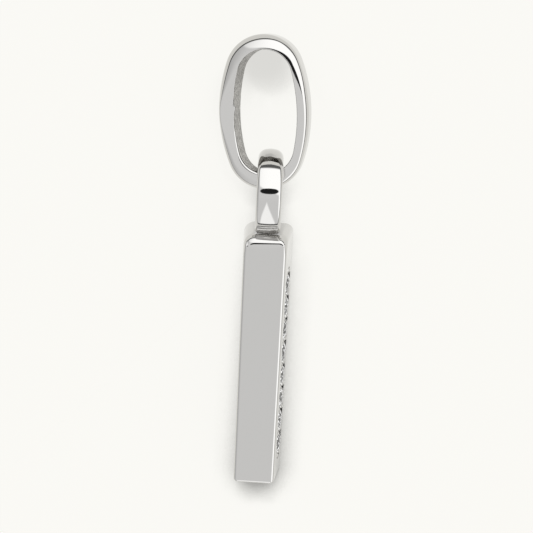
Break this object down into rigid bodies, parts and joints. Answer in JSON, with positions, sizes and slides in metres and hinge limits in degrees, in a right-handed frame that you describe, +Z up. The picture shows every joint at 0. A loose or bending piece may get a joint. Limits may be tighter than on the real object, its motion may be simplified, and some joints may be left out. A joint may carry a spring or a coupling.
{
  "type": "initial pendant",
  "caption": "Block letter I pendant with a row of bead-set round stones down its front, a soldered ring and an oval bail, lying on its side.",
  "frame": {"origin": "on the table that the pendant lies on, under the middle of its bounding box", "axes": "+Z up from the table, +Y from the foot of the letter towards the bail, +X the way the letter's front and its stones face"},
  "size_m": [0.004, 0.02, 0.0038],
  "materials": {
    "white_gold": "polished and rhodium plated white gold, mirror bright, as cast inside the bail",
    "stone": "clear colourless round brilliant, polished facets"
  },
  "bodies": {
    "root": {"initial_bar": "white_gold", "bail": "white_gold", "stone_1": "stone", "stone_2": "stone", "stone_3": "stone", "stone_4": "stone", "stone_5": "stone", "stone_6": "stone", "stone_7": "stone", "stone_8": "stone"}
  },
  "joints": []
}
